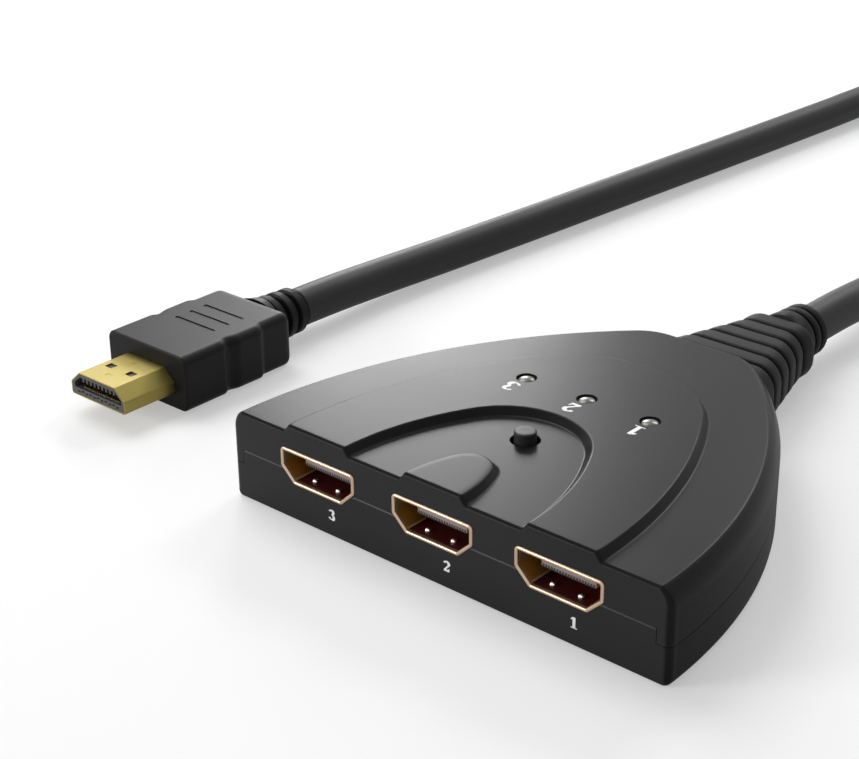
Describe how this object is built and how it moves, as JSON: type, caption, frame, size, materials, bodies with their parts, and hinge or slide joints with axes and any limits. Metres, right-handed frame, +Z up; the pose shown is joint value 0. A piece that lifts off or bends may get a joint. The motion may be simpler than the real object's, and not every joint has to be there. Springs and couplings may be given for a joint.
{
  "type": "hdmi switch box",
  "caption": "Low black video switch box with a stepped arch-shaped top, a row of input sockets, indicator lights, a select button and a captive output cable ending in a plug.",
  "frame": {"origin": "centre of the box's base, measured over the box and its cable boot, on the surface it stands on", "axes": "+Z up, -Y out of the front face with the input sockets, +Y along the cable boot, +X to the right seen from the front"},
  "size_m": [0.129, 0.2886, 0.0165],
  "materials": {
    "case_plastic": "satin black moulded plastic",
    "button_plastic": "satin black",
    "steel": "plain",
    "board": "green solder mask",
    "socket_gold": "champagne gold plate",
    "plug_gold": "yellow gold plate",
    "contact_gold": "gold plate",
    "insulator": "matte black",
    "plug_insulator": "matte grey",
    "clear_plastic": "clear lens",
    "chip": "matte black",
    "ceramic": "tan",
    "boot_rubber": "matte dark grey",
    "cable_jacket": "satin black",
    "wire": "plain",
    "plug_plastic": "satin black"
  },
  "bodies": {
    "case": {"top_shell": "case_plastic", "bottom_shell": "case_plastic", "case_screws": "steel", "circuit_board": "board", "input_1_shell": "socket_gold", "input_1_insulator": "insulator", "input_1_contacts": "contact_gold", "input_2_shell": "socket_gold", "input_2_insulator": "insulator", "input_2_contacts": "contact_gold", "input_3_shell": "socket_gold", "input_3_insulator": "insulator", "input_3_contacts": "contact_gold", "led_1": "clear_plastic", "led_2": "clear_plastic", "led_3": "clear_plastic", "led_leads": "steel", "switch_housing": "insulator", "switch_cover": "steel", "switch_dome": "steel", "switch_terminals": "steel", "switch_chip": "chip", "chip_leads": "steel", "regulator": "chip", "capacitors": "ceramic", "resistors": "chip", "cable_boot": "boot_rubber", "cable_core": "cable_jacket", "cable_wires": "wire", "cable": "cable_jacket", "plug_body": "plug_plastic", "plug_shell": "plug_gold", "plug_insulator": "plug_insulator", "plug_contacts": "contact_gold"},
    "button": {"select_button": "button_plastic"}
  },
  "joints": [
    {"name": "select_press", "type": "slide", "parent": "case", "child": "button", "axis": [0, 0, -1], "range_m": [0, 0.00025], "stiffness_N_per_m": 4000}
  ]
}
